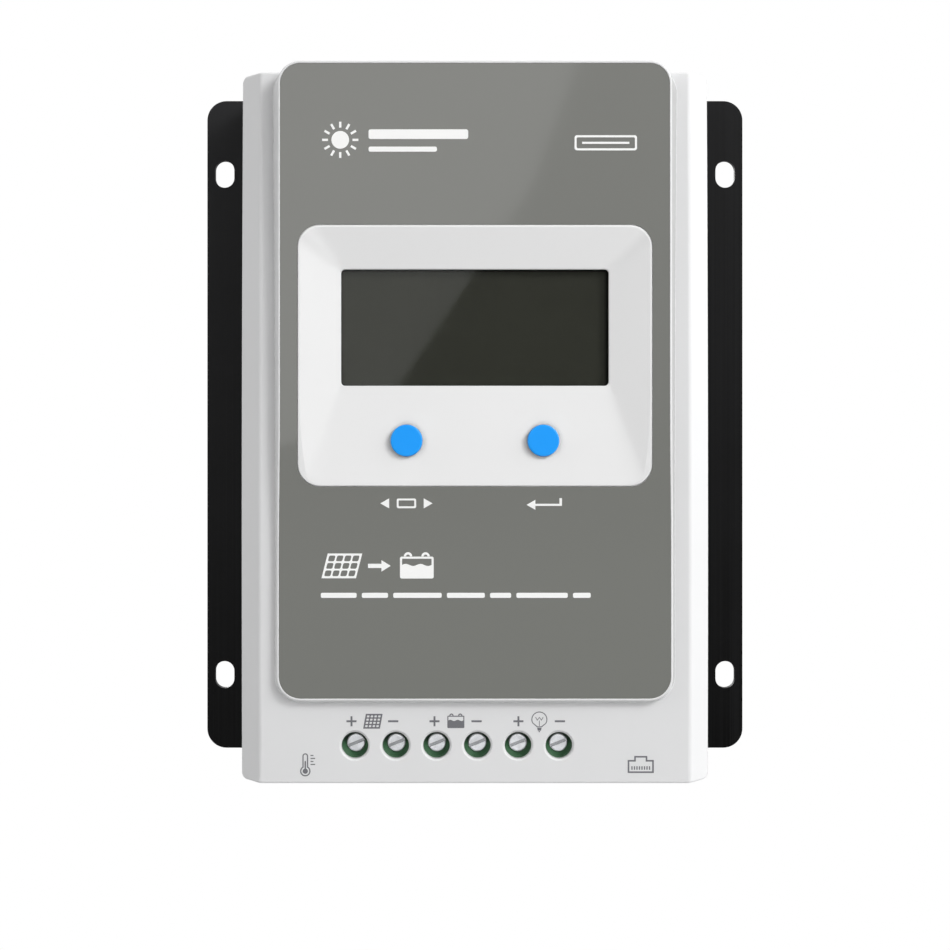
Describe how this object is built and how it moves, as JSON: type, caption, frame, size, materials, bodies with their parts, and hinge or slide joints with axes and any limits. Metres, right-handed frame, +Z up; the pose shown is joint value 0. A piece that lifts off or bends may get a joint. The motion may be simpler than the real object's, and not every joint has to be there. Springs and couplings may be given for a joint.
{
  "type": "solar charge controller",
  "caption": "Wall-mounted solar charge controller: finned heat sink base with slotted ears, moulded cover, display in a dished bezel, push buttons and a screw terminal block.",
  "frame": {"origin": "centre of the pattern of mounting slots, on the wall plane (the rear plane of the ears and fins)", "axes": "-Y points out of the front, +Y into the wall, +X to the right seen from the front, +Z up"},
  "size_m": [0.139, 0.044, 0.1719],
  "materials": {
    "anodised_aluminium": "black anodised, fine satin",
    "cover_plastic": "off-white moulded plastic, fine spark texture",
    "overlay_film": "grey satin printed film",
    "bezel_plastic": "white moulded plastic, satin",
    "window_clear": "clear polished",
    "lcd_dark": "dark grey-green polariser",
    "diffuser_plastic": "milky",
    "frame_plastic": "black moulded",
    "black_rubber": "silicone",
    "board_laminate": "green solder mask",
    "screw_steel": "zinc plated",
    "black_plastic": "moulded",
    "black_plastic_plunger": "moulded",
    "button_blue": "blue moulded, satin",
    "brass_plated": "machined",
    "terminal_green": "green moulded polyamide",
    "tinned_brass": "tin plated",
    "shield_steel": "tin plated sheet",
    "gold_contact": "gold flashed",
    "pad_rubber": "silicone pad",
    "white_plastic": "nylon",
    "core_yellow": "coated powder core",
    "copper_wire": "enamelled copper",
    "can_aluminium": "drawn can",
    "sleeve_plastic": "shrink sleeve",
    "fuse_plastic": "translucent",
    "chip_ceramic": "chip resistor",
    "chip_tan": "chip capacitor",
    "terminal_screw_zinc": "zinc plated, slotted",
    "cage_zinc": "zinc plated"
  },
  "bodies": {
    "housing": {"heat_sink_base": "anodised_aluminium", "front_cover": "cover_plastic", "overlay": "overlay_film", "display_bezel": "bezel_plastic", "display_window": "window_clear", "lcd_glass": "lcd_dark", "lcd_backlight": "diffuser_plastic", "lcd_frame": "frame_plastic", "zebra_strip": "black_rubber", "display_board": "board_laminate", "display_board_screws": "screw_steel", "tact_switch_bodies": "black_plastic", "main_board": "board_laminate", "board_standoffs": "brass_plated", "main_board_screws": "screw_steel", "terminal_housing": "terminal_green", "current_bars": "tinned_brass", "com_socket_housing": "black_plastic", "com_socket_shield": "shield_steel", "com_socket_contacts": "gold_contact", "sensor_header": "terminal_green", "sensor_pins": "tinned_brass", "thermal_pad": "pad_rubber", "power_transistors": "black_plastic", "transistor_bushes": "white_plastic", "transistor_screws": "screw_steel", "inductor_core": "core_yellow", "inductor_winding": "copper_wire", "inductor_base": "black_plastic", "capacitor_cans": "can_aluminium", "capacitor_sleeves": "sleeve_plastic", "fuse_body": "fuse_plastic", "fuse_blades": "tinned_brass", "shunt_resistor": "copper_wire", "controller_chip": "black_plastic", "driver_chips": "black_plastic", "chip_leads": "tinned_brass", "stack_header": "black_plastic", "stack_socket": "black_plastic", "header_pins": "gold_contact", "cover_screws": "screw_steel", "chip_resistors": "chip_ceramic", "chip_capacitors": "chip_tan"},
    "select_key": {"select_button": "button_blue", "select_plunger": "black_plastic_plunger"},
    "enter_key": {"enter_button": "button_blue", "enter_plunger": "black_plastic_plunger"},
    "screw_1": {"terminal_screw_1": "terminal_screw_zinc"},
    "cage_1": {"clamp_cage_1": "cage_zinc"},
    "screw_2": {"terminal_screw_2": "terminal_screw_zinc"},
    "cage_2": {"clamp_cage_2": "cage_zinc"},
    "screw_3": {"terminal_screw_3": "terminal_screw_zinc"},
    "cage_3": {"clamp_cage_3": "cage_zinc"},
    "screw_4": {"terminal_screw_4": "terminal_screw_zinc"},
    "cage_4": {"clamp_cage_4": "cage_zinc"},
    "screw_5": {"terminal_screw_5": "terminal_screw_zinc"},
    "cage_5": {"clamp_cage_5": "cage_zinc"},
    "screw_6": {"terminal_screw_6": "terminal_screw_zinc"},
    "cage_6": {"clamp_cage_6": "cage_zinc"}
  },
  "joints": [
    {"name": "select_press", "type": "slide", "parent": "housing", "child": "select_key", "axis": [0, 1, 0], "range_m": [0, 0.0005], "stiffness_N_per_m": 150, "springref_m": -0.0002},
    {"name": "enter_press", "type": "slide", "parent": "housing", "child": "enter_key", "axis": [0, 1, 0], "range_m": [0, 0.0005], "stiffness_N_per_m": 150, "springref_m": -0.0002},
    {"name": "screw_turn_1", "type": "hinge", "parent": "housing", "child": "screw_1", "pos_m": [-0.02868, -0.036, -0.0767], "axis": [0, 1, 0], "range_deg": [0, 2160]},
    {"name": "cage_rise_1", "type": "slide", "parent": "housing", "child": "cage_1", "axis": [0, -1, 0], "range_m": [0, 0.003]},
    {"name": "screw_turn_2", "type": "hinge", "parent": "housing", "child": "screw_2", "pos_m": [-0.01893, -0.036, -0.0767], "axis": [0, 1, 0], "range_deg": [0, 2160]},
    {"name": "cage_rise_2", "type": "slide", "parent": "housing", "child": "cage_2", "axis": [0, -1, 0], "range_m": [0, 0.003]},
    {"name": "screw_turn_3", "type": "hinge", "parent": "housing", "child": "screw_3", "pos_m": [-0.00918, -0.036, -0.0767], "axis": [0, 1, 0], "range_deg": [0, 2160]},
    {"name": "cage_rise_3", "type": "slide", "parent": "housing", "child": "cage_3", "axis": [0, -1, 0], "range_m": [0, 0.003]},
    {"name": "screw_turn_4", "type": "hinge", "parent": "housing", "child": "screw_4", "pos_m": [0.00058, -0.036, -0.0767], "axis": [0, 1, 0], "range_deg": [0, 2160]},
    {"name": "cage_rise_4", "type": "slide", "parent": "housing", "child": "cage_4", "axis": [0, -1, 0], "range_m": [0, 0.003]},
    {"name": "screw_turn_5", "type": "hinge", "parent": "housing", "child": "screw_5", "pos_m": [0.01033, -0.036, -0.0767], "axis": [0, 1, 0], "range_deg": [0, 2160]},
    {"name": "cage_rise_5", "type": "slide", "parent": "housing", "child": "cage_5", "axis": [0, -1, 0], "range_m": [0, 0.003]},
    {"name": "screw_turn_6", "type": "hinge", "parent": "housing", "child": "screw_6", "pos_m": [0.02008, -0.036, -0.0767], "axis": [0, 1, 0], "range_deg": [0, 2160]},
    {"name": "cage_rise_6", "type": "slide", "parent": "housing", "child": "cage_6", "axis": [0, -1, 0], "range_m": [0, 0.003]}
  ],
  "couplings": [
    {"joint": "screw_turn_1", "follows": "cage_rise_1", "rad_per_m": 12566},
    {"joint": "screw_turn_2", "follows": "cage_rise_2", "rad_per_m": 12566},
    {"joint": "screw_turn_3", "follows": "cage_rise_3", "rad_per_m": 12566},
    {"joint": "screw_turn_4", "follows": "cage_rise_4", "rad_per_m": 12566},
    {"joint": "screw_turn_5", "follows": "cage_rise_5", "rad_per_m": 12566},
    {"joint": "screw_turn_6", "follows": "cage_rise_6", "rad_per_m": 12566}
  ]
}
